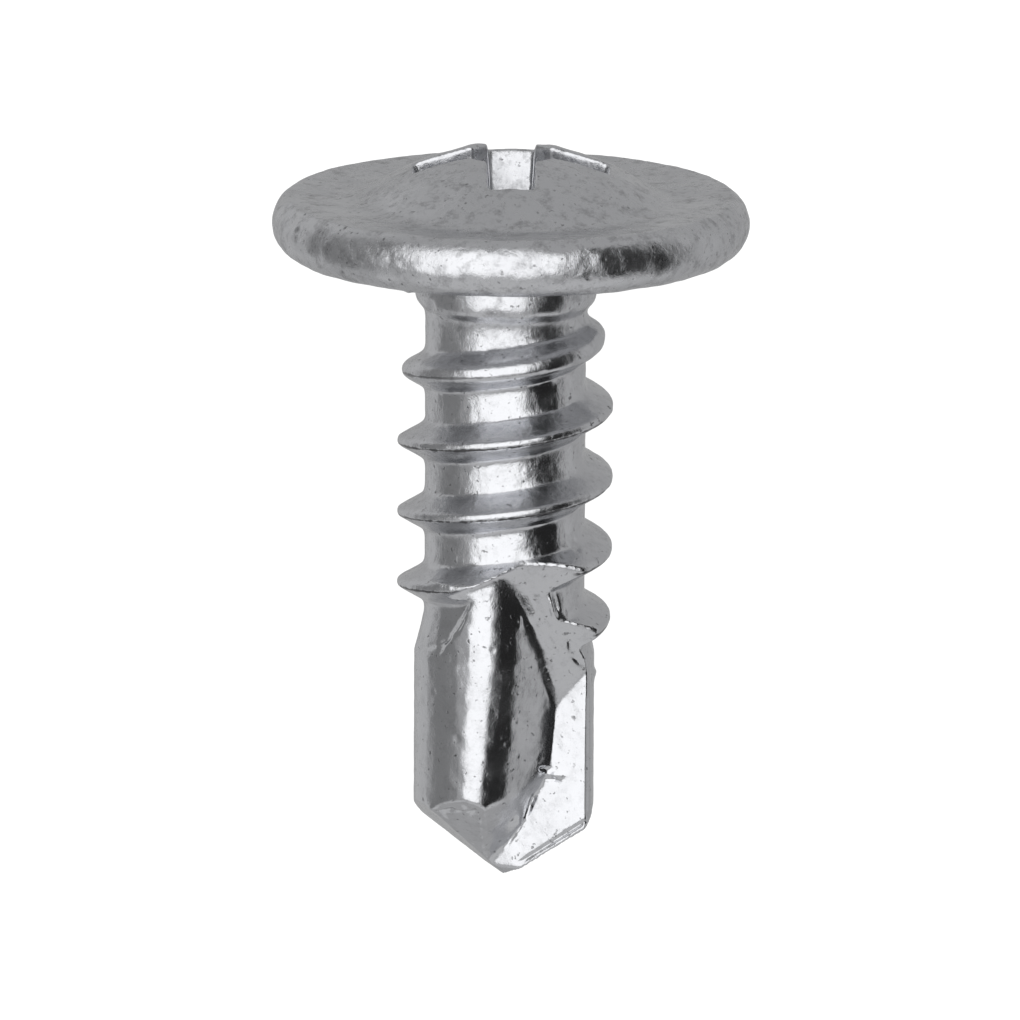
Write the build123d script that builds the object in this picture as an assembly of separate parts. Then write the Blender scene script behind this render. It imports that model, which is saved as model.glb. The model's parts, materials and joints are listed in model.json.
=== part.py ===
from build123d import *
from math import asin, atan2, ceil, cos, degrees, hypot, radians, sin, sqrt, tan
import os

# Self-drilling screw with a wide rounded flange head, cross recess, spaced thread and a
# pressed two-flute drill point. One forged, rolled and plated piece, in millimetres.
# It is built upright: axis on Z, bearing face of the head at Z = 0, point down, and the
# middle of one flute towards -Y. At the end it is laid down the way it comes to rest.

# Depths below the bearing face
LENGTH = 12.34
COLLAR_LENGTH = 0.93
THREAD_START = 0.9

# Heights above the tip of the drill point
THREAD_END = 4.907
FLUTE_HEIGHT = 6.29
FLUTE_BEND = 4.54
SWELL_HEIGHT = 6.04
POINT_CONE_TOP = 5.29
POINT_SIDE_TOP = 4.49

# Shank
CORE_DIA = 3.1
COLLAR_DIA = 3.52
COLLAR_STEP = 0.12
POINT_DIA = 3.49
NECK_FILLET = 0.24

# Thread
THREAD_DIA = 4.2
THREAD_PITCH = 1.4
THREAD_ANGLE = 60.0
THREAD_END_AZIMUTH = 60.0
CREST_WIDTH = 0.12
ROOT_OVERLAP = 0.1
RUN_IN_DEPTH = 0.3
RUN_IN_DIA = 3.84
RUN_IN_STEP = 0.3
RUN_IN_LENGTH = 2.0
RUN_OUT_LENGTH = 0.85
RUN_OUT_DIA = 3.78

# Head
HEAD_DIA = 9.2
HEAD_HEIGHT = 2.05
HEAD_RUNOUT = 0.09
RIM_RADIUS = 0.605
BEARING_INSET = 0.45
RIM_EDGE_INSET = 0.32
DISH_DEPTH = 0.07
DISH_LAND = 0.35
DOME_DIA = 5.9
DOME_FILLET = 0.8

# Cross recess, sized in the plane of the dome's top
RECESS_DEPTH = 2.3
RECESS_SPAN = 4.2
WING_WIDTH = 0.95
WING_DRAFT = 4.2
WING_END_ANGLE = 26.5
RECESS_CORE_DIA = 1.8
RECESS_CORE_DRAFT = 6.0
RECESS_FLOOR_ANGLE = 28.0

# Drill point. An azimuth turns from +X towards -Y, and a tilt turns a normal downwards.
# Offsets are taken at the level of the tip, and an overcut is an offset past the axis.
FLANK_AZIMUTH = -24.5
FLANK_TILT = 47.7
HEEL_AZIMUTH = -69.4
HEEL_TILT = 43.3
RAKE_AZIMUTH = 107.0
RAKE_OFFSET = 0.19
FLUTE_WALL_AZIMUTH = 44.0
FLUTE_WALL_TILT = 4.44
FLUTE_WALL_OFFSET = 0.798
SHOULDER_RADIUS = 1.25
SHOULDER_TURN = 29.0
NOSE_RADIUS = 0.35
NOSE_RADIUS_AT_BEND = 0.71
RUNOUT_AZIMUTH = 84.1
RUNOUT_TILT = 18.7
RUNOUT_FILLET = 0.45
CEILING_RISE = 0.65
LEDGE_RISE = 0.11
LEDGE_SLOPE = 22.0
RAKE_FILLET = 0.1
SWELL_DIA = 3.45
SWELL_EDGE_TILT = 28.7
SWELL_EDGE_X = -0.48
SWELL_SIDE_X = 0.3
WEB_AZIMUTH = 46.5
WEB_TILT = 35.6
WEB_OVERCUT = 0.311
GASH_AZIMUTH = 30.0
GASH_TILT = 27.1
GASH_OVERCUT = 0.154

TIP = Vector(0, 0, -LENGTH)
BASE_ALIGN = (Align.CENTER, Align.CENTER, Align.MIN)
REACH = 5 * (HEAD_DIA + LENGTH)


def outward(azimuth, tilt=0.0):
    """Unit normal of a wall."""
    level = cos(radians(tilt))
    turn = radians(azimuth)
    return Vector(level * cos(turn), -level * sin(turn), -sin(radians(tilt)))


def beyond(point, normal):
    """Everything on the outer side of the plane through a point."""
    return Plane(origin=point, z_dir=normal) * Pos(0, 0, REACH / 2) * Box(REACH, REACH, REACH)


def turned(outline):
    """Solid of revolution about Z from an outline in the XZ plane."""
    return revolve(outline, Axis.Z)


def rim_section():
    """Centre of the rim's round section, and where its arc starts and ends."""
    radius = HEAD_DIA / 2
    centre_x = radius - RIM_RADIUS
    centre_z = sqrt(RIM_RADIUS**2 - (RIM_RADIUS - BEARING_INSET) ** 2)
    edge_z = centre_z + sqrt(RIM_RADIUS**2 - (RIM_RADIUS - RIM_EDGE_INSET) ** 2)
    return (centre_x, centre_z), (radius - BEARING_INSET, 0), (radius - RIM_EDGE_INSET, edge_z)


def head_blank():
    """Flange with a rounded rim and a slightly dished top, under a low dome."""
    centre, bearing, edge = rim_section()
    dish_z = edge[1] - DISH_DEPTH
    foot = (DOME_DIA / 2, dish_z)
    rise = HEAD_HEIGHT - dish_z
    dome_radius = (foot[0] ** 2 + rise**2) / (2 * rise)
    foot_angle = 2 * atan2(rise, foot[0])
    shoulder = (
        dome_radius * sin(foot_angle / 2),
        HEAD_HEIGHT - dome_radius * (1 - cos(foot_angle / 2)),
    )
    rim = ThreePointArc(bearing, (HEAD_DIA / 2, centre[1]), edge)
    top = Polyline(edge, (foot[0] + DISH_LAND, dish_z), foot)
    dome = ThreePointArc(foot, shoulder, (0, HEAD_HEIGHT))
    base = Polyline((0, HEAD_HEIGHT), (0, 0), bearing)
    outline = Plane.XZ * make_face(Curve() + [rim, top, dome, base])
    corner = outline.vertices().sort_by_distance((foot[0], 0, dish_z))[0]
    round_over = min(DOME_FILLET, 0.9 * DISH_LAND / tan(foot_angle / 2))
    return Pos(HEAD_RUNOUT, 0, 0) * turned(fillet(corner, round_over))


def shank_blank():
    """Collar, core and drill point as turned, with the fillet under the head."""
    core, collar, point = CORE_DIA / 2, COLLAR_DIA / 2, POINT_DIA / 2
    inside = rim_section()[0][1]
    seat = collar + NECK_FILLET
    middle = (seat - NECK_FILLET * sin(radians(45)), -NECK_FILLET * (1 - cos(radians(45))))
    top = Polyline((0, inside), (seat, inside), (seat, 0))
    neck = ThreePointArc((seat, 0), middle, (collar, -NECK_FILLET))
    side = Polyline(
        (collar, -NECK_FILLET),
        (collar, -COLLAR_LENGTH),
        (core, -COLLAR_LENGTH - COLLAR_STEP),
        (core, POINT_CONE_TOP - LENGTH),
        (point, POINT_SIDE_TOP - LENGTH),
        (point, -LENGTH),
        (0, -LENGTH),
        (0, inside),
    )
    return turned(Plane.XZ * make_face(Curve() + [top, neck, side]))


def thread():
    """Helical rib of V section, built turn by turn, that rises out of the core where it runs
    in under the collar and ends low at the drill point."""
    root = CORE_DIA / 2 - ROOT_OVERLAP
    crest = THREAD_DIA / 2
    width = CREST_WIDTH + 2 * (crest - root) * tan(radians(THREAD_ANGLE / 2))
    bottom = THREAD_END - LENGTH
    corners = [(root, -width / 2), (root, width / 2), (crest, CREST_WIDTH / 2), (crest, -CREST_WIDTH / 2)]
    span_count = ceil((-THREAD_START - bottom) / THREAD_PITCH)
    rise = (-THREAD_START - bottom) / span_count
    edges = [Edge.make_helix(THREAD_PITCH, rise, r, (0, 0, bottom + z)).edge() for r, z in corners]
    sides = [Face.make_surface_from_curves(a, b) for a, b in zip(edges, edges[1:] + edges[:1])]
    caps = [Face(Wire.make_polygon([edge @ end for edge in edges], close=True)) for end in (0, 1)]
    steps = [Pos(0, 0, i * rise) * Rot(0, 0, 360 * rise / THREAD_PITCH * i) for i in range(span_count)]
    skin = [step * side for step in steps for side in sides]
    rib = Solid(Shell(skin + [steps[0] * caps[0], steps[-1] * caps[1]]))
    run_in = -THREAD_START - RUN_IN_DEPTH
    low_end = bottom - width / 2
    envelope = make_face(Polyline(
        (0, 0),
        (root, 0),
        (root, run_in),
        (RUN_IN_DIA / 2, run_in - RUN_IN_STEP),
        (crest, -THREAD_START - RUN_IN_LENGTH),
        (crest, low_end + RUN_OUT_LENGTH),
        (RUN_OUT_DIA / 2, low_end),
        (0, low_end),
        close=True,
    ))
    return Rot(0, 0, -THREAD_END_AZIMUTH) * rib & turned(Plane.XZ * envelope)


def recess():
    """Cross recess: two tapered bars across a tapered core with a conical floor."""
    mouth = Pos(0, 0, HEAD_HEIGHT)
    floor = Pos(0, 0, HEAD_HEIGHT - RECESS_DEPTH)
    floor_span = RECESS_SPAN - 2 * RECESS_DEPTH * tan(radians(WING_END_ANGLE))
    floor_width = WING_WIDTH - 2 * RECESS_DEPTH * tan(radians(WING_DRAFT))
    bar = loft([mouth * Rectangle(RECESS_SPAN, WING_WIDTH), floor * Rectangle(floor_span, floor_width)])
    core = RECESS_CORE_DIA / 2
    core_floor = core - RECESS_DEPTH * tan(radians(RECESS_CORE_DRAFT))
    core_outline = make_face(Polyline(
        (0, HEAD_HEIGHT),
        (core, HEAD_HEIGHT),
        (core_floor, HEAD_HEIGHT - RECESS_DEPTH),
        (0, HEAD_HEIGHT - RECESS_DEPTH - core_floor * tan(radians(RECESS_FLOOR_ANGLE))),
        close=True,
    ))
    cross = bar + Rot(0, 0, 90) * bar + turned(Plane.XZ * core_outline)
    return Pos(HEAD_RUNOUT, 0, 0) * cross


def swell():
    """Stock pressed out beside one flute, above the turned cone of the point."""
    stock = Pos(0, 0, -LENGTH) * Cylinder(SWELL_DIA / 2, SWELL_HEIGHT, align=BASE_ALIGN)
    stock &= beyond(TIP + Vector(SWELL_EDGE_X, 0, SWELL_HEIGHT), outward(0, SWELL_EDGE_TILT))
    stock &= beyond(Vector(SWELL_SIDE_X, 0, 0), outward(180))
    return stock & beyond(Vector(0, 0, 0), outward(90))


def flute_rounds(height):
    """Radius and centre of the nose beside the point's side, and centre of the wider
    shoulder that leads from the nose to a flute's long wall."""
    rise = min(height, FLUTE_BEND)
    offset = FLUTE_WALL_OFFSET + rise * tan(radians(FLUTE_WALL_TILT))
    growth = (NOSE_RADIUS_AT_BEND - NOSE_RADIUS) / FLUTE_BEND
    nose = min(NOSE_RADIUS + rise * growth, 0.45 * (POINT_DIA / 2 + offset))
    inward = offset - SHOULDER_RADIUS + (SHOULDER_RADIUS - nose) * cos(radians(SHOULDER_TURN))
    reach = sqrt((POINT_DIA / 2 - nose) ** 2 - inward**2)
    centre = outward(FLUTE_WALL_AZIMUTH) * inward + outward(FLUTE_WALL_AZIMUTH + 90) * reach
    junction = outward(FLUTE_WALL_AZIMUTH + SHOULDER_TURN)
    return nose, centre, centre - junction * (SHOULDER_RADIUS - nose)


def wall_section(height):
    """Section of the space beyond a flute's long wall and the rounds beside it."""
    nose, nose_centre, shoulder_centre = flute_rounds(height)
    across = outward(FLUTE_WALL_AZIMUTH)
    half_turned = outward(FLUTE_WALL_AZIMUTH + SHOULDER_TURN / 2)
    junction = outward(FLUTE_WALL_AZIMUTH + SHOULDER_TURN)
    side = nose_centre.normalized()
    wall_end = shoulder_centre + across * SHOULDER_RADIUS
    shoulder_middle = shoulder_centre + half_turned * SHOULDER_RADIUS
    meeting = nose_centre + junction * nose
    nose_middle = nose_centre + (junction + side).normalized() * nose
    side_end = nose_centre + side * nose
    near = wall_end - outward(FLUTE_WALL_AZIMUTH + 90) * REACH
    far = side_end + side.rotate(Axis.Z, -90) * REACH
    shoulder = ThreePointArc(wall_end, shoulder_middle, meeting)
    bend = ThreePointArc(meeting, nose_middle, side_end)
    rest = Polyline(side_end, far, (across + side) * REACH, near, wall_end)
    return Pos(0, 0, height - LENGTH) * make_face(Curve() + [shoulder, bend, rest])


def seams(solid, point, normal):
    """Edges of a solid that lie in a plane, close to the screw's axis."""
    def in_plane(edge):
        return all(abs((edge @ at - point).dot(normal)) < 1e-4 for at in (0, 0.5, 1))
    def close(edge):
        return hypot((edge @ 0.5).X, (edge @ 0.5).Y) < THREAD_DIA / 2
    return [edge for edge in solid.edges() if in_plane(edge) and close(edge)]


def web_facet(turn=0.0):
    """A point and the normal of the facet that thins the web, beside the flute turned so far."""
    azimuth = WEB_AZIMUTH + turn
    return TIP - outward(azimuth) * WEB_OVERCUT, outward(azimuth, WEB_TILT)


def flute():
    """Space of one flute: in front of the rake face, outside the sloping run-out, under the
    ledge, and beyond the long wall or the two facets that thin the web at the tip."""
    rake_normal = outward(RAKE_AZIMUTH)
    rake_point = rake_normal * RAKE_OFFSET
    runout_normal = outward(RUNOUT_AZIMUTH, RUNOUT_TILT)
    runout_point = TIP + outward(RUNOUT_AZIMUTH) * (CORE_DIA / 2) + Vector(0, 0, FLUTE_HEIGHT)
    gash_point = TIP - outward(GASH_AZIMUTH) * GASH_OVERCUT
    front = beyond(rake_point, rake_normal) & beyond(runout_point, runout_normal)
    ceiling = FLUTE_HEIGHT + CEILING_RISE
    front &= beyond(TIP + Vector(0, 0, ceiling), Vector(0, 0, -1))
    sections = [wall_section(height) for height in (-POINT_DIA / 2, FLUTE_BEND, ceiling)]
    wall = front & loft(sections, ruled=True)
    wall = fillet(seams(wall, runout_point, runout_normal), RUNOUT_FILLET)
    wall = fillet(seams(wall, rake_point, rake_normal), RAKE_FILLET)
    gash = front & beyond(gash_point, outward(GASH_AZIMUTH, GASH_TILT))
    space = wall + gash + (front & beyond(*web_facet()))
    ledge_point = TIP + Vector(0, 0, FLUTE_HEIGHT + LEDGE_RISE)
    return space & beyond(ledge_point, outward(0, 90 - LEDGE_SLOPE))


def flank():
    """Space under one relief flank, which meets the other one in the chisel edge, and under
    the steeper facet that clears its heel."""
    primary = beyond(TIP, outward(FLANK_AZIMUTH, FLANK_TILT))
    return primary + beyond(TIP, outward(HEEL_AZIMUTH, HEEL_TILT))


def flank_height(x, y):
    """Level of the flank on the +X side over a point of the ground plan."""
    normals = (outward(FLANK_AZIMUTH, FLANK_TILT), outward(HEEL_AZIMUTH, HEEL_TILT))
    return max(-LENGTH - (normal.X * x + normal.Y * y) / normal.Z for normal in normals)


def lip_corner():
    """Outer end of the cutting lip on the +X side."""
    along = outward(RAKE_AZIMUTH - 90)
    spot = outward(RAKE_AZIMUTH) * RAKE_OFFSET + along * sqrt((POINT_DIA / 2) ** 2 - RAKE_OFFSET**2)
    return Vector(spot.X, spot.Y, flank_height(spot.X, spot.Y))


def heel_spot(azimuth):
    """Point of the +X flank's edge where the rounds beside the far flute face one way."""
    normal = outward(azimuth)
    level = -LENGTH
    for _ in range(6):
        nose, nose_centre, shoulder_centre = flute_rounds(level + LENGTH)
        on_nose = azimuth > FLUTE_WALL_AZIMUTH + SHOULDER_TURN
        spot = nose_centre + normal * nose if on_nose else shoulder_centre + normal * SHOULDER_RADIUS
        level = flank_height(-spot.X, -spot.Y)
    return Vector(-spot.X, -spot.Y, level)


def rest_angles():
    """Roll about the axis and tilt of the axis at which the screw lies still: on the rim
    of its head, and on a lip's corner and a heel beside the flute that faces down."""
    lip = lip_corner().rotate(Axis.Z, 180)
    web_point, web_normal = web_facet(180)
    heel_edge = [heel_spot(FLUTE_WALL_AZIMUTH + i) for i in range(72)]
    heel_edge = [spot for spot in heel_edge if (spot - web_point).dot(web_normal) < 0]
    (rim_x, rim_z) = rim_section()[0]
    roll, tilt = 0.0, 0.0
    for _ in range(24):
        down = Vector(cos(tilt) * sin(roll), cos(tilt) * cos(roll), -sin(tilt))
        heel = max(heel_edge, key=down.dot)
        across = heel - lip
        roll = -atan2(across.Y, across.X) + asin(tan(tilt) * across.Z / hypot(across.X, across.Y))
        reach = rim_x + HEAD_RUNOUT * sin(roll) - heel.X * sin(roll) - heel.Y * cos(roll)
        span = rim_z - heel.Z
        tilt = atan2(reach, span) + asin(RIM_RADIUS / hypot(reach, span))
    return degrees(roll), degrees(tilt)


def laid_down(solid):
    """The screw on its side on the ground, with its head towards +Y."""
    roll, tilt = rest_angles()
    lying = Rot(X=tilt - 90) * Rot(Z=roll) * solid
    box = lying.bounding_box()
    return Pos(-box.center().X, -box.center().Y, -box.min.Z) * lying


def screw():
    """The whole screw, upright."""
    shank = shank_blank() + swell() + Rot(0, 0, 180) * swell()
    body = head_blank() + shank + thread() - recess()
    for turn in (0, 180):
        body -= Rot(0, 0, turn) * flute()
        body -= Rot(0, 0, turn) * flank()
    return body


os.makedirs("parts", exist_ok=True)
export_step(laid_down(screw()), "parts/screw.step")
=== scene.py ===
import json
import math

import bpy
import numpy as np
from bpy.props import FloatProperty, IntProperty, PointerProperty, StringProperty
from mathutils import Matrix, Vector


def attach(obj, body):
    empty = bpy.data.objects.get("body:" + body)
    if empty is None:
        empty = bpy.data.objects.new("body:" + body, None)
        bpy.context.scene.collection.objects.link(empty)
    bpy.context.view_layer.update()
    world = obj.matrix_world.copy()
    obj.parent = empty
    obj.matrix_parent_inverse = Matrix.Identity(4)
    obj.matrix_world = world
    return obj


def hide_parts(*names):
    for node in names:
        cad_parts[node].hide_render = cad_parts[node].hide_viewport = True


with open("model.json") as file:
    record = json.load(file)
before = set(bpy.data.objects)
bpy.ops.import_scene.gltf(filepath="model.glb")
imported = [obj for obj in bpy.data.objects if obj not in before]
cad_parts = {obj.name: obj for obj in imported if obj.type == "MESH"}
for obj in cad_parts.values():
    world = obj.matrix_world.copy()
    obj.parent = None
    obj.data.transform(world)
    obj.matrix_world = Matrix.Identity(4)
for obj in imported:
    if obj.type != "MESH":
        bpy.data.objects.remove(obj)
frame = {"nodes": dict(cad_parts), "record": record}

bl_info = {
    "name": "Self Drilling Screw",
    "version": (1, 0, 0),
    "blender": (4, 5, 0),
    "location": "3D View > Sidebar > Screw",
    "description": "Zinc-plated self drilling screw, lying on a pale floor",
    "category": "Object",
}

MM = 0.001
NODE = "screw"
PIECE = "plated_screw"

# How the screw lies: its turn about its own axis, between the upright frame in which the
# middle of one flute faces the camera and the frame of the floor.
ROLL = math.radians(-18.95)

# The thread in the upright frame, in millimetres and degrees: its pitch, a point that its
# crest goes through, and how far under the crest's middle the line of painted shade lies.
PITCH = 1.4
CREST_AZIMUTH = -60
CREST_HEIGHT = -7.433
CREST_SHADE_DROP = 0.055


def mount(name):
    """Place and axis of one of the part's mounts, in metres."""
    for entry in frame["record"]["mounts"]:
        if entry["name"] == name:
            return Vector(entry["pos_m"]), Vector(entry["axis"])
    raise RuntimeError(f"the part has no mount named {name}")


def upright():
    """Matrix from the screw's upright frame to the floor's frame, in metres. In the upright
    frame the shank's axis is Z, the bearing face is at Z = 0 and the head is above it."""
    on_axis, _ = mount("threaded_shank")
    bearing, down = mount("bearing_face")
    up = -down
    origin = on_axis + up * (bearing - on_axis).dot(up)
    side = Vector((0, up.z, -up.y))
    turn = Matrix((Vector((1, 0, 0)), side, up)).transposed().to_4x4()
    return Matrix.Translation(origin) @ turn @ Matrix.Rotation(ROLL, 4, "Z")


def linear(hex_colour):
    """Linear colour with alpha from an sRGB hex value such as #8C9196."""
    channels = [int(hex_colour[i:i + 2], 16) / 255 for i in (1, 3, 5)]
    colour = [c / 12.92 if c <= 0.04045 else ((c + 0.055) / 1.055) ** 2.4 for c in channels]
    return (*colour, 1)


def node(tree, kind, inputs=None, **settings):
    """Adds a node with its settings. An input is known by its name, or by its number where
    names repeat, and it is a value or the socket that feeds it."""
    added = tree.nodes.new(kind)
    for name, value in settings.items():
        setattr(added, name, value)
    for name, value in (inputs or {}).items():
        if isinstance(name, int):
            socket = added.inputs[name]
        else:
            socket = next(item for item in added.inputs if item.name == name and item.enabled)
        if isinstance(value, bpy.types.NodeSocket):
            tree.links.new(value, socket)
        else:
            socket.default_value = value
    return added


def bare_material(name):
    """A material whose node tree is still empty."""
    material = bpy.data.materials.new(name)
    material.use_nodes = True
    material.node_tree.nodes.clear()
    return material


def deselect():
    """Leaves nothing selected, so that an operator acts on one piece only."""
    bpy.ops.object.select_all(action="DESELECT")


def pick(piece):
    """Makes one piece the only selected and the active one."""
    deselect()
    piece.select_set(True)
    bpy.context.view_layer.objects.active = piece


def applied(piece, kind, **settings):
    """Adds a modifier with its settings and applies it."""
    modifier = piece.modifiers.new(kind.title(), kind)
    for name, value in settings.items():
        setattr(modifier, name, value)
    bpy.ops.object.modifier_apply(modifier=modifier.name)


def triangles(piece):
    """How many triangles a piece has."""
    return sum(len(face.vertices) - 2 for face in piece.data.polygons)


def ramp(value, low, high):
    """Rises smoothly from 0 to 1 between two limits."""
    share = np.clip((value - low) / (high - low), 0, 1)
    return share * share * (3 - 2 * share)


def band(value, low, high, soft):
    """1 between two limits, falling smoothly to 0 outside them."""
    return ramp(value, low - soft, low) * (1 - ramp(value, high, high + soft))


def towards(azimuth, tilt):
    """Unit vector in the upright frame: its azimuth turns from the camera to the right, and
    its tilt turns it down to the tip."""
    around, lean = math.radians(azimuth), math.radians(tilt)
    level = math.cos(lean)
    return np.array((level * math.sin(around), -level * math.cos(around), -math.sin(lean)))


# Marks of pressing, rolling and handling, as (start, end, width, rise) in millimetres. A place
# is seen along the camera's line: to the right of the axis, and above the bearing face.
MARKS = {
    "burr across the rake face": ((0.8, -10.06), (1.2, -10.09), 0.045, 0.07),
    "fold under the burr": ((0.85, -10.17), (1.1, -10.2), 0.03, -0.05),
    "notch beside the burr": ((0.74, -9.97), (0.8, -9.98), 0.04, -0.05),
    "groove along the margin": ((1.63, -8.5), (1.63, -10.9), 0.025, -0.035),
    "worn cutting lip": ((1.64, -10.95), (0.28, -11.83), 0.035, -0.035),
    "heel's edge": ((-1.43, -10.77), (-0.5, -10.78), 0.025, -0.02),
    "flare under the head": ((-1.86, -0.86), (-1.8, -1.0), 0.06, 0.06),
    "fold under the head": ((-1.45, -1.0), (-1.42, -1.18), 0.05, -0.06),
    "burr on the ear": ((1.8, -8.08), (1.84, -8.2), 0.07, 0.1),
    "web's foot, upper": ((0.66, -10.36), (0.41, -10.94), 0.045, -0.06),
    "web's foot, lower": ((0.41, -10.94), (0.02, -11.52), 0.045, -0.06),
    "lap beside the web's foot": ((0.43, -10.62), (0.08, -11.38), 0.095, 0.11),
    "heel's corner": ((-0.44, -10.8), (-0.33, -11.75), 0.025, -0.02),
    "streak over the flute, first": ((0.22, -6.5), (0.85, -7.6), 0.035, 0.007),
    "streak over the flute, second": ((0.36, -6.45), (0.95, -7.5), 0.03, -0.011),
    "streak over the flute, third": ((0.45, -6.35), (1.0, -7.75), 0.035, 0.011),
    "streak over the flute, fourth": ((0.62, -6.4), (1.12, -7.8), 0.03, -0.011),
    "swell's edge, outer": ((-1.66, -7.64), (-1.29, -7.58), 0.04, -0.035),
    "swell's edge, middle": ((-1.29, -7.58), (-0.98, -7.4), 0.04, -0.045),
    "swell's edge, inner": ((-0.98, -7.4), (-0.72, -6.95), 0.04, -0.045),
    "cut thread end, ridge": ((0.83, -6.5), (1.0, -7.15), 0.05, 0.05),
    "cut thread end, fold": ((0.93, -6.5), (1.07, -7.05), 0.04, -0.05),
    "lap over the ear, upper": ((1.25, -7.3), (1.28, -7.75), 0.04, -0.04),
    "lap over the ear, lower": ((1.28, -7.75), (1.56, -8.0), 0.04, -0.04),
    "burr over the flute": ((-1.4, -6.38), (-1.06, -6.43), 0.06, 0.05),
    "lump in the flute": ((0.29, -7.03), (0.29, -7.2), 0.035, 0.03),
    "dent in the rim, left": ((-4.15, 0.45), (-4.08, 0.62), 0.09, -0.05),
    "nick in the rim, left": ((-4.0, 0.35), (-3.94, 0.36), 0.05, -0.04),
    "dent in the rim, right": ((3.85, 0.7), (4.3, 1.1), 0.06, -0.045),
    "crease in the rim, left": ((-0.9, -0.24), (-0.45, -0.27), 0.05, -0.02),
    "crease in the rim, middle": ((-0.35, -0.29), (0.05, -0.28), 0.06, -0.035),
    "crease in the rim, right": ((0.15, -0.25), (0.5, -0.31), 0.05, -0.022),
    "lip pushed up, left": ((-0.66, 2.05), (-0.6, 2.07), 0.16, 0.035),
    "lip pushed up, right": ((0.86, 2.05), (0.92, 2.05), 0.16, 0.035),
    "ragged heel, first": ((-1.42, -10.73), (-1.3, -10.77), 0.05, 0.03),
    "ragged heel, second": ((-1.12, -10.82), (-1.0, -10.76), 0.05, -0.04),
    "ragged heel, third": ((-0.8, -10.72), (-0.7, -10.79), 0.05, 0.03),
    "ragged heel, fourth": ((-0.62, -10.82), (-0.5, -10.78), 0.04, -0.04),
}

# A mark works on what faces the camera or is little past edge-on to it (the cosine of that
# turn), down to so many millimetres behind the axis. A long mark fades over so many of its
# widths at each end.
PAST_EDGE_ON = 0.3
SHANK_REACH = 0.8
HEAD_REACH = 1.5
FADE_WIDTHS = 5

# Pits: the range of their widths in millimetres, their depth as a share of that, and how many
# widths off the skin is still pressed down.
PIT_WIDTHS = (0.035, 0.07)
PIT_DEPTH = 0.2
PIT_REACH = 2.5

RIPPLE_SEED = 7
PIT_SEED = 11

# Steps between two readings of the normals while hollows are filled.
FRESH_NORMALS = 8


class Skin:
    """A mesh's vertices as arrays, to be worked like soft metal."""

    def __init__(self, mesh):
        self.mesh = mesh
        self.points = np.empty((len(mesh.vertices), 3))
        mesh.vertices.foreach_get("co", self.points.ravel())
        links = np.empty((len(mesh.edges), 2), dtype=np.int32)
        mesh.edges.foreach_get("vertices", links.ravel())
        self.starts = np.concatenate((links[:, 0], links[:, 1]))
        self.ends = np.concatenate((links[:, 1], links[:, 0]))

    def store(self):
        """Writes the points back to the mesh."""
        self.mesh.vertices.foreach_set("co", self.points.ravel())
        self.mesh.update()

    def normals(self):
        """Normals of the points as they are now."""
        self.store()
        result = np.empty((len(self.points), 3))
        self.mesh.vertex_normals.foreach_get("vector", result.ravel())
        return result

    def patch(self, weight):
        """The points that a weight works on, and a function that gives the way from each of
        them to the middle of its neighbours."""
        chosen = np.flatnonzero(weight > 0.01)
        order = np.full(len(self.points), -1)
        order[chosen] = np.arange(len(chosen))
        used = order[self.starts] >= 0
        starts, ends = order[self.starts[used]], self.ends[used]
        degree = np.bincount(starts, minlength=len(chosen))[:, None]

        def pull():
            columns = [
                np.bincount(starts, weights=self.points[ends, axis], minlength=len(chosen))
                for axis in range(3)
            ]
            return np.stack(columns, axis=1) / degree - self.points[chosen]

        return chosen, pull

    def relax(self, weight, steps):
        """Rounds edges and hollows alike, by each point's weight."""
        chosen, pull = self.patch(weight)
        share = 0.5 * weight[chosen][:, None]
        for _ in range(steps):
            self.points[chosen] += share * pull()

    def fill(self, weight, steps):
        """Rounds hollows only, as a fillet does."""
        chosen, pull = self.patch(weight)
        for step in range(steps):
            if step % FRESH_NORMALS == 0:
                normals = self.normals()[chosen]
            rise = np.clip(np.einsum("ij,ij->i", pull(), normals), 0, None)
            self.points[chosen] += normals * (0.5 * weight[chosen] * rise)[:, None]


def press_marks(skin, rise):
    """Raises and dents the side that faces the camera along each mark."""
    normals = skin.normals()
    look = np.array((0, math.cos(rise), -math.sin(rise)))
    above = np.array((0, math.sin(rise), math.cos(rise)))
    seen = np.stack((skin.points[:, 0], skin.points @ above), axis=1)
    behind = np.where(skin.points[:, 2] > 0, HEAD_REACH, SHANK_REACH)
    open_side = (normals @ look < PAST_EDGE_ON) & (skin.points[:, 1] < behind)
    shift = np.zeros(len(seen))
    for start, end, width, height in MARKS.values():
        along = np.subtract(end, start)
        share = np.clip((seen - start) @ along / (along @ along), 0, 1)
        apart = np.linalg.norm(seen - start - share[:, None] * along, axis=1)
        # A mark too short to fade keeps its whole height.
        length = np.linalg.norm(along) / (FADE_WIDTHS * width)
        fade = np.clip(np.minimum(share, 1 - share) * length + max(0, 1 - length / 2), 0, 1)
        shift += np.where(open_side, height * fade * np.exp(-(apart / width) ** 2), 0)
    skin.points += normals * shift[:, None]


def ripple(skin, waves, shortest, longest, height):
    """Gentle unevenness: many plane waves in random directions."""
    chance = np.random.default_rng(RIPPLE_SEED)
    field = np.zeros(len(skin.points))
    for _ in range(waves):
        way = chance.normal(size=3)
        way *= 2 * math.pi / (np.linalg.norm(way) * chance.uniform(shortest, longest))
        field += np.sin(skin.points @ way + chance.uniform(0, 2 * math.pi))
    skin.points += skin.normals() * (height * math.sqrt(2 / waves) * field)[:, None]


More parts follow.
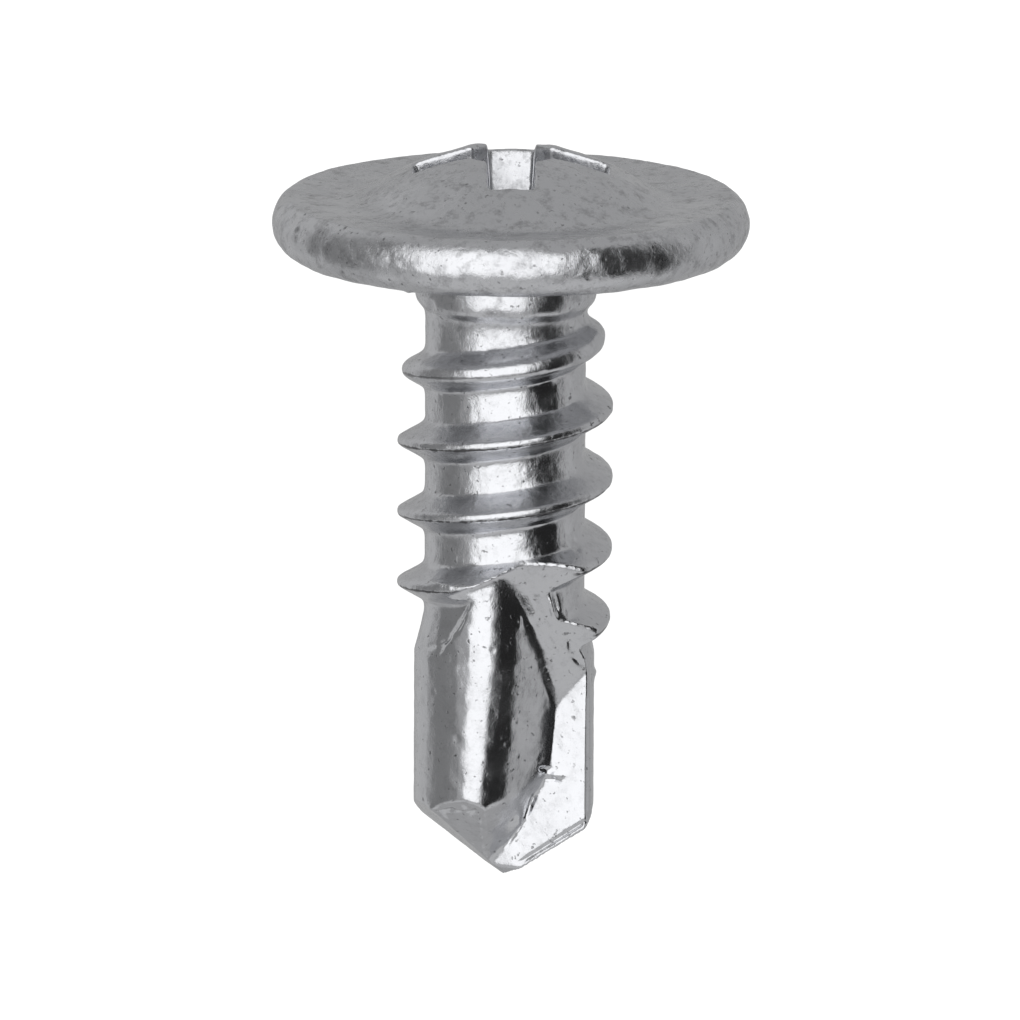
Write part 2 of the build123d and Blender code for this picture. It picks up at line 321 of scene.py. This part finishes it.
def pit(skin, count):
    """Small dents all over, where scale was rolled in."""
    chance = np.random.default_rng(PIT_SEED)
    normals = skin.normals()
    for place in skin.points[chance.integers(len(skin.points), size=count)]:
        width = chance.uniform(*PIT_WIDTHS)
        near = np.flatnonzero(np.abs(skin.points[:, 2] - place[2]) < PIT_REACH * width)
        gap = np.sum((skin.points[near] - place) ** 2, axis=1)
        dent = PIT_DEPTH * width * np.exp(-gap / width ** 2)
        skin.points[near] -= normals[near] * dent[:, None]


def soften(skin):
    """Fillets at the thread's root, the worn collar, and the blends of the pressed point.
    Zones end at heights and radii in millimetres, and more steps make a zone rounder."""
    height = skin.points[:, 2]
    radius = np.hypot(skin.points[:, 0], skin.points[:, 1])
    shank = 1 - ramp(radius, 2.3, 2.5)
    thread = band(height, -7.3, -0.7, 0.4) * shank
    last_turn = band(height, -6.3, -5.6, 0.2) * shank
    skin.relax(last_turn, 5)
    skin.fill(thread, 40)
    crest = thread * ramp(radius, 1.85, 2.0)
    skin.relax(crest, 20)
    run_in = band(height, -2.4, -1.2, 0.2) * shank * ramp(radius, 1.8, 1.95)
    skin.relax(run_in, 50)
    collar = band(height, -1.35, -0.12, 0.1) * shank
    skin.relax(collar, 80)
    neck = band(height, -0.9, 0.3, 0.1) * (1 - ramp(radius, 2.6, 2.8))
    skin.fill(neck, 50)
    normals = skin.normals()
    for turn in (0, 180):
        flute_wall = ramp(normals @ towards(46 + turn, 20), 0.86, 0.93)
        skin.relax(flute_wall * (1 - ramp(height, -9.6, -9.0)), 60)
    tip = 1 - ramp(height, -9.9, -9.6)
    skin.fill(tip, 16)
    recess = ramp(height, 1.0, 1.2) * (1 - ramp(radius, 2.2, 2.4))
    skin.relax(recess, 6)


def painted_crest_shade(tree, parts, noise):
    """Painted shade: a dark line along the lower edge of the thread's crest, where shade falls.
    It follows the crest's helix, and its width comes and goes with the noise."""
    start = CREST_AZIMUTH / 360 - (CREST_HEIGHT - CREST_SHADE_DROP) / PITCH
    values = {"x": parts["X"], "y": parts["Y"], "height": parts["Z"], "noise": noise}
    # Each step is the name of its value, a Math node's operation, and what feeds the node:
    # numbers, or the names of earlier values. The width is in turns of the thread.
    for name, operation, *inputs in (
        ("angle", "ARCTAN2", "y", "x"),
        ("turn", "MULTIPLY", "angle", 1 / (2 * math.pi)),
        ("climb", "MULTIPLY_ADD", "height", 1 / (PITCH * MM), start),
        ("phase", "SUBTRACT", "climb", "turn"),
        ("apart", "PINGPONG", "phase", 0.5),
        ("width", "MULTIPLY_ADD", "noise", 0.16, -0.058),
        ("share", "DIVIDE", "apart", "width"),
        ("x squared", "MULTIPLY", "x", "x"),
        ("radius squared", "MULTIPLY_ADD", "y", "y", "x squared"),
        ("radius", "SQRT", "radius squared"),
    ):
        fed = {number: values.get(value, value) for number, value in enumerate(inputs)}
        values[name] = node(tree, "ShaderNodeMath", fed, operation=operation).outputs["Value"]
    dark = None
    # The painted shade is clear at the first number of each zone, and full at the second.
    for name, clear, full in (
        ("share", 1.0, 0.4),
        ("radius", 1.93 * MM, 2.0 * MM),
        ("height", -1.3 * MM, -1.5 * MM),
        ("height", -8.0 * MM, -7.7 * MM),
    ):
        zone = node(tree, "ShaderNodeMapRange", {
            "Value": values[name], "From Min": clear, "From Max": full,
        }).outputs["Result"]
        dark = zone if dark is None else node(
            tree, "ShaderNodeMath", {0: dark, 1: zone}, operation="MULTIPLY").outputs["Value"]
    return dark


def zinc_plating(finish):
    """Bright zinc plating on rolled and pressed steel: a clean grey metal whose mirror is
    broken up by the fine wrinkles and pits of the wire underneath."""
    material = bare_material("zinc_plated_steel")
    tree = material.node_tree
    back = upright().inverted()
    place = node(tree, "ShaderNodeMapping", {
        "Vector": node(tree, "ShaderNodeTexCoord").outputs["Object"],
        "Location": back.to_translation(), "Rotation": back.to_euler(),
    }).outputs["Vector"]
    along_wire = node(tree, "ShaderNodeMapping", {
        "Vector": place, "Scale": (1, 1, 0.75),
    }).outputs["Vector"]
    parts = node(tree, "ShaderNodeSeparateXYZ", {"Vector": place}).outputs

    # The width of each pattern is a number of wrinkles, so all of them grow with the grain.
    pattern = {}
    for name, vector, width, detail, roughness, distortion in (
        ("wrinkles", along_wire, 1, 5, 0.65, 0.3),
        ("patches", place, 8, 3, 0.6, 0),
        ("specks", place, 0.9, 3, 0.5, 0),
        ("film", place, 2.5, 6, 0.75, 0),
    ):
        pattern[name] = node(tree, "ShaderNodeTexNoise", {
            "Vector": vector, "Scale": 1 / (width * finish.grain * MM), "Detail": detail,
            "Roughness": roughness, "Distortion": distortion,
        }).outputs["Fac"]

    # The wrinkles come in patches, and run deeper on the shank than on the drill point.
    patchy = node(tree, "ShaderNodeMapRange", {
        "Value": pattern["patches"], "From Min": 0.35, "From Max": 0.7,
        "To Min": 0.15, "To Max": 0.7,
    }).outputs["Result"]
    rolled = node(tree, "ShaderNodeMapRange", {
        "Value": parts["Z"], "From Min": -7.2 * MM, "From Max": -6.2 * MM,
        "To Min": 0.6, "To Max": 1.5,
    }).outputs["Result"]
    depth = node(tree, "ShaderNodeMath", {0: patchy, 1: rolled}, operation="MULTIPLY")
    wrinkled = node(tree, "ShaderNodeBump", {
        "Height": pattern["wrinkles"], "Strength": depth.outputs["Value"],
        "Distance": finish.wrinkle * MM,
    })
    pits = node(tree, "ShaderNodeMapRange", {
        "Value": pattern["specks"], "From Min": 0.62, "From Max": 0.76,
    }, interpolation_type="SMOOTHSTEP").outputs["Result"]
    pitted = node(tree, "ShaderNodeBump", {
        "Height": pits, "Strength": 0.4, "Distance": 0.008 * MM,
        "Normal": wrinkled.outputs["Normal"],
    }, invert=True)

    # The pits and the film are darker than the clean metal, and so is the painted shade under
    # the thread's crest; the film is at its darkest on the forged head.
    forged = node(tree, "ShaderNodeMapRange", {
        "Value": parts["Z"], "From Min": -2.4 * MM, "From Max": -1.0 * MM,
    }).outputs["Result"]
    darkest = node(tree, "ShaderNodeMath", {0: forged, 1: 0.38, 2: 0.2},
                   operation="MULTIPLY_ADD")
    haze = node(tree, "ShaderNodeMapRange", {
        "Value": pattern["film"], "From Min": 0.5, "From Max": 0.72,
        "To Max": darkest.outputs["Value"],
    }).outputs["Result"]
    tone = node(tree, "ShaderNodeMath", {0: pits, 1: 0.75}, operation="MULTIPLY")
    # The second darkening is painted shade along the lower edge of the thread's crest.
    for darker in (haze, painted_crest_shade(tree, parts, pattern["film"])):
        tone = node(tree, "ShaderNodeMath", {0: tone.outputs["Value"], 1: darker},
                    operation="MAXIMUM")
    colour = node(tree, "ShaderNodeMix", {
        "Factor": tone.outputs["Value"], "A": linear(finish.colour),
        "B": linear(finish.pit_and_shade_colour),
    }, data_type="RGBA")

    # The forged head blurs what it mirrors a little more, and so do the deeper patches.
    uneven = node(tree, "ShaderNodeMapRange", {
        "Value": pattern["patches"], "From Min": 0.3, "From Max": 0.7,
        "To Min": finish.roughness - 0.05, "To Max": finish.roughness + 0.08,
    }).outputs["Result"]
    blur = node(tree, "ShaderNodeMath", {0: forged, 1: 0.08, 2: uneven},
                operation="MULTIPLY_ADD")
    shader = node(tree, "ShaderNodeBsdfPrincipled", {
        "Metallic": 1.0, "Roughness": blur.outputs["Value"], "Normal": pitted.outputs["Normal"],
        "Base Color": colour.outputs["Result"],
    })
    node(tree, "ShaderNodeOutputMaterial", {"Surface": shader.outputs["BSDF"]})
    return material


class ScrewFinish(bpy.types.PropertyGroup):
    """Sizes and colours of the plated surface."""

    colour: StringProperty(
        name="Plating", description="Colour of the zinc plating, as an sRGB hex value",
        default="#D1D2D5")
    # Also the colour of the film and of the painted shade under the thread's crest.
    pit_and_shade_colour: StringProperty(
        name="Pits", description="Colour of the pits in the plating, as an sRGB hex value",
        default="#5A5A5C")
    roughness: FloatProperty(
        name="Roughness", description="How far the plating blurs what it mirrors",
        default=0.17, min=0, max=1, subtype="FACTOR")
    grain: FloatProperty(
        name="Grain", description="Width of the plating's wrinkles, in millimetres",
        default=0.12, min=0.01)
    wrinkle: FloatProperty(
        name="Wrinkle", description="Depth of the plating's wrinkles, in millimetres",
        default=0.02, min=0)
    voxel: FloatProperty(
        name="Voxel", default=0.03, min=0.01,
        description="Width of the cells that the surface is built from, in millimetres")
    triangles: IntProperty(
        name="Triangles", description="Most triangles in the finished mesh",
        default=190000, min=1000)


class ScrewStage(bpy.types.PropertyGroup):
    """Sizes of the floor, the lights and the camera."""

    floor: FloatProperty(
        name="Floor", description="Width of the floor", default=4, min=0.1,
        subtype="DISTANCE", unit="LENGTH")
    distance: FloatProperty(
        name="Distance", description="From the camera to the middle of the screw", default=0.3,
        subtype="DISTANCE", unit="LENGTH")
    elevation: FloatProperty(
        name="Elevation", description="How far the camera looks down along the upright screw",
        default=math.radians(12.9), subtype="ANGLE", unit="ROTATION")
    view: FloatProperty(
        name="View", description="Width of the picture at the screw", default=19.706 * MM,
        subtype="DISTANCE", unit="LENGTH")


class OBJECT_OT_plated_screw(bpy.types.Operator):
    """The screw, with the softened edges of rolled and plated steel"""

    bl_idname = "object.plated_screw"
    bl_label = "Plated Screw"

    def execute(self, context):
        finish = context.scene.screw_finish
        deselect()
        piece = bpy.data.objects.new(PIECE, frame["nodes"][NODE].data.copy())
        context.collection.objects.link(piece)
        pick(piece)
        # The skin is worked upright and in millimetres.
        piece.data.transform(Matrix.Scale(1 / MM, 4) @ upright().inverted())
        bpy.ops.object.mode_set(mode="EDIT")
        bpy.ops.mesh.select_all(action="SELECT")
        bpy.ops.mesh.remove_doubles(threshold=1e-4)
        bpy.ops.object.mode_set(mode="OBJECT")
        applied(piece, "REMESH", mode="VOXEL", voxel_size=finish.voxel, adaptivity=0)
        applied(piece, "SMOOTH", factor=0.5, iterations=7)
        skin = Skin(piece.data)
        soften(skin)
        ripple(skin, waves=24, shortest=0.2, longest=0.5, height=0.0016)
        headwards = ramp(skin.points[:, 2], -2.2, -0.5)
        ripple(skin, waves=24, shortest=0.5, longest=1.2, height=0.004 * headwards)
        pit(skin, count=260)
        press_marks(skin, context.scene.screw_stage.elevation)
        skin.store()
        applied(piece, "DECIMATE", ratio=min(1, finish.triangles / triangles(piece)))
        piece.data.transform(upright() @ Matrix.Scale(MM, 4))
        bpy.ops.object.shade_smooth()
        piece.data.materials.clear()
        piece.data.materials.append(zinc_plating(finish))
        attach(piece, "root")
        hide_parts(NODE)
        return {"FINISHED"}


# Panels around the screw, as (azimuth, elevation, distance, spread, radiance). Angles are in
# degrees and the distance in metres, and the spread is the angles that a panel fills, across
# and along the upright screw.
SOFTBOX = (-9, 16, 0.35, (78, 87), 1.06)
CARDS = {
    "grey_card": (-86, 10, 0.1, (48, 90), 0.25),
    "left_card": (-133, 10, 0.1, (42, 90), 0.56),
    "black_card": (60, -3, 0.1, (46, 116), 0.02),
    "right_card": (99, 5, 0.1, (30, 100), 0.52),
    "low_card": (10, -70, 0.1, (90, 56), 0.62),
}

# The middle of the view in the upright frame, how far the camera leans to one side, and the
# width of its sensor, with lengths in millimetres.
VIEW_CENTRE = (0.1, 0, -5.09)
LEAN = math.radians(0.26)
SENSOR = 36


def facing(stand, azimuth, elevation, distance, spread):
    """Place, turn and size of a panel that faces the screw and fills a spread of angles."""
    around, rise = math.radians(azimuth), math.radians(elevation)
    level = math.cos(rise)
    way = Vector((level * math.sin(around), -level * math.cos(around), math.sin(rise)))
    back = stand.to_3x3() @ way
    side = (stand.to_3x3() @ Vector((0, 0, 1))).cross(back).normalized()
    turn = Matrix((side, back.cross(side), back)).transposed().to_euler()
    size = [2 * distance * math.tan(math.radians(angle) / 2) for angle in spread]
    return stand @ (way * distance), turn, size


def softbox(name, stand, azimuth, elevation, distance, spread, radiance):
    """Area light that faces the screw. Its azimuth turns from the camera to the right about
    the upright screw, and its elevation rises towards the head."""
    place, turn, size = facing(stand, azimuth, elevation, distance, spread)
    bpy.ops.object.light_add(type="AREA", location=place, rotation=turn)
    light = bpy.context.object
    light.name = name
    light.data.shape = "RECTANGLE"
    light.data.size, light.data.size_y = size
    light.data.energy = radiance * math.pi * size[0] * size[1]


def reflected_card(name, stand, azimuth, elevation, distance, spread, radiance):
    """Card that faces the screw and shows only in what it mirrors."""
    place, turn, size = facing(stand, azimuth, elevation, distance, spread)
    material = bare_material(name)
    tree = material.node_tree
    glow = node(tree, "ShaderNodeEmission", {"Strength": radiance})
    node(tree, "ShaderNodeOutputMaterial", {"Surface": glow.outputs["Emission"]})
    deselect()
    bpy.ops.mesh.primitive_plane_add(size=1, location=place, rotation=turn)
    card = bpy.context.object
    card.name = name
    card.scale = (*size, 1)
    card.data.materials.append(material)
    card.visible_camera = card.visible_diffuse = card.visible_shadow = False


def pale_floor(stage):
    """A plain floor of matt white paper. It glows, so that it stays evenly white around the
    bright metal, and the screw mirrors the cards in its stead."""
    material = bare_material("white_paper")
    tree = material.node_tree
    shader = node(tree, "ShaderNodeBsdfPrincipled", {
        "Base Color": linear("#808080"), "Roughness": 0.9,
        "Emission Color": linear("#FFFFFF"), "Emission Strength": 0.95,
    })
    node(tree, "ShaderNodeOutputMaterial", {"Surface": shader.outputs["BSDF"]})
    deselect()
    bpy.ops.mesh.primitive_circle_add(vertices=96, radius=stage.floor / 2, fill_type="NGON")
    floor = bpy.context.object
    floor.name = "floor"
    floor.data.materials.append(material)
    floor.visible_glossy = False


def camera(stage, stand):
    """A long lens that looks down on the lying screw."""
    rise = stage.elevation
    ahead = Vector((0, math.cos(rise), -math.sin(rise)))
    place = stand @ (Vector(VIEW_CENTRE) * MM - ahead * stage.distance)
    right = Vector((1, 0, 0))
    above = right.cross(ahead)
    axes = Matrix((
        right * math.cos(LEAN) + above * math.sin(LEAN),
        above * math.cos(LEAN) - right * math.sin(LEAN),
        -ahead,
    )).transposed()
    turn = stand.to_3x3() @ axes
    bpy.ops.object.camera_add(location=place, rotation=turn.to_euler())
    shot = bpy.context.object
    shot.data.sensor_width = SENSOR
    shot.data.lens = SENSOR * stage.distance / stage.view
    shot.data.clip_start = 0.01
    bpy.context.scene.camera = shot


class SCENE_OT_screw_stage(bpy.types.Operator):
    """The pale floor, the soft studio light and the camera"""

    bl_idname = "scene.screw_stage"
    bl_label = "Screw Stage"

    def execute(self, context):
        stage = context.scene.screw_stage
        stand = upright()
        pale_floor(stage)
        softbox("main_softbox", stand, *SOFTBOX)
        for name, values in CARDS.items():
            reflected_card(name, stand, *values)
        camera(stage, stand)
        world = bpy.data.worlds.new("studio")
        world.use_nodes = True
        background = world.node_tree.nodes["Background"]
        background.inputs["Color"].default_value = linear("#B2B2B2")
        context.scene.world = world
        context.scene.view_settings.view_transform = "Standard"
        return {"FINISHED"}


class VIEW3D_PT_screw(bpy.types.Panel):
    """Lists the screw's sizes and the steps that make it"""

    bl_label = "Self Drilling Screw"
    bl_space_type = "VIEW_3D"
    bl_region_type = "UI"
    bl_category = "Screw"

    def draw(self, context):
        for group in (context.scene.screw_finish, context.scene.screw_stage):
            box = self.layout.box()
            for name in type(group).__annotations__:
                box.prop(group, name)
        for step in STEPS:
            self.layout.operator(step.bl_idname)


STEPS = (OBJECT_OT_plated_screw, SCENE_OT_screw_stage)
CLASSES = (ScrewFinish, ScrewStage) + STEPS + (VIEW3D_PT_screw,)


def register():
    for item in CLASSES:
        bpy.utils.register_class(item)
    bpy.types.Scene.screw_finish = PointerProperty(type=ScrewFinish)
    bpy.types.Scene.screw_stage = PointerProperty(type=ScrewStage)


def unregister():
    del bpy.types.Scene.screw_stage
    del bpy.types.Scene.screw_finish
    for item in reversed(CLASSES):
        bpy.utils.unregister_class(item)


def main():
    """Builds the piece and the stage."""
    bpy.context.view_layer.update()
    register()
    bpy.ops.object.plated_screw()
    bpy.ops.scene.screw_stage()


if __name__ == "__main__":
    main()
